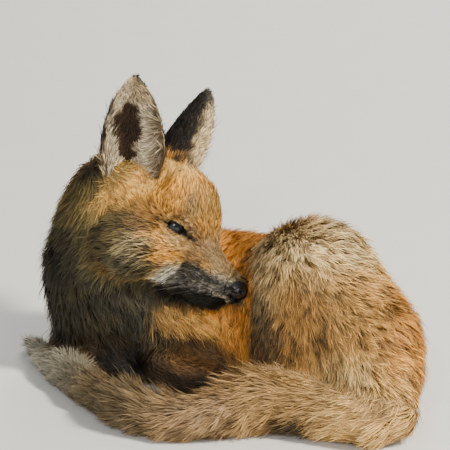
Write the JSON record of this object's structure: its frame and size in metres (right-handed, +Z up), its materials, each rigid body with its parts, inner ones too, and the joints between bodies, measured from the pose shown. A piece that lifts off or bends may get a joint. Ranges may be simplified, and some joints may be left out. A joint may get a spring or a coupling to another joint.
{
  "type": "red fox cub",
  "caption": "Life-size fox cub, still, lying curled with its tail brought round in front, head raised and turned to look over the curl.",
  "frame": {"origin": "on the floor, under the middle of the bounding box", "axes": "+Z up; +X from the chest towards the rump, along the longest extent; the curl of the body opens towards -Y"},
  "size_m": [0.2806, 0.2276, 0.2161],
  "materials": {
    "coat_head": "orange-tan fur",
    "coat_ear": "short fur, black behind and pale at the rim",
    "coat_body": "orange fur, grey-olive on the ruff",
    "coat_rump": "grizzled tan and grey fur",
    "coat_tail": "fawn fur with a pale tip",
    "coat_dark": "dark brown fur",
    "nose_leather": "black, moist",
    "eye": "dark, glossy"
  },
  "bodies": {
    "root": {"head": "coat_head", "ear_left": "coat_ear", "ear_right": "coat_ear", "neck": "coat_body", "chest": "coat_body", "belly": "coat_body", "hindquarters": "coat_rump", "hindleg_left": "coat_rump", "hindleg_right": "coat_rump", "foreleg_left": "coat_dark", "foreleg_right": "coat_dark", "forepaw_left": "coat_dark", "forepaw_right": "coat_dark", "hindpaw_left": "coat_dark", "hindpaw_right": "coat_dark", "tail_base": "coat_tail", "tail_middle": "coat_tail", "tail_tip": "coat_tail", "nose": "nose_leather", "eye_left": "eye", "eye_right": "eye"}
  },
  "joints": []
}
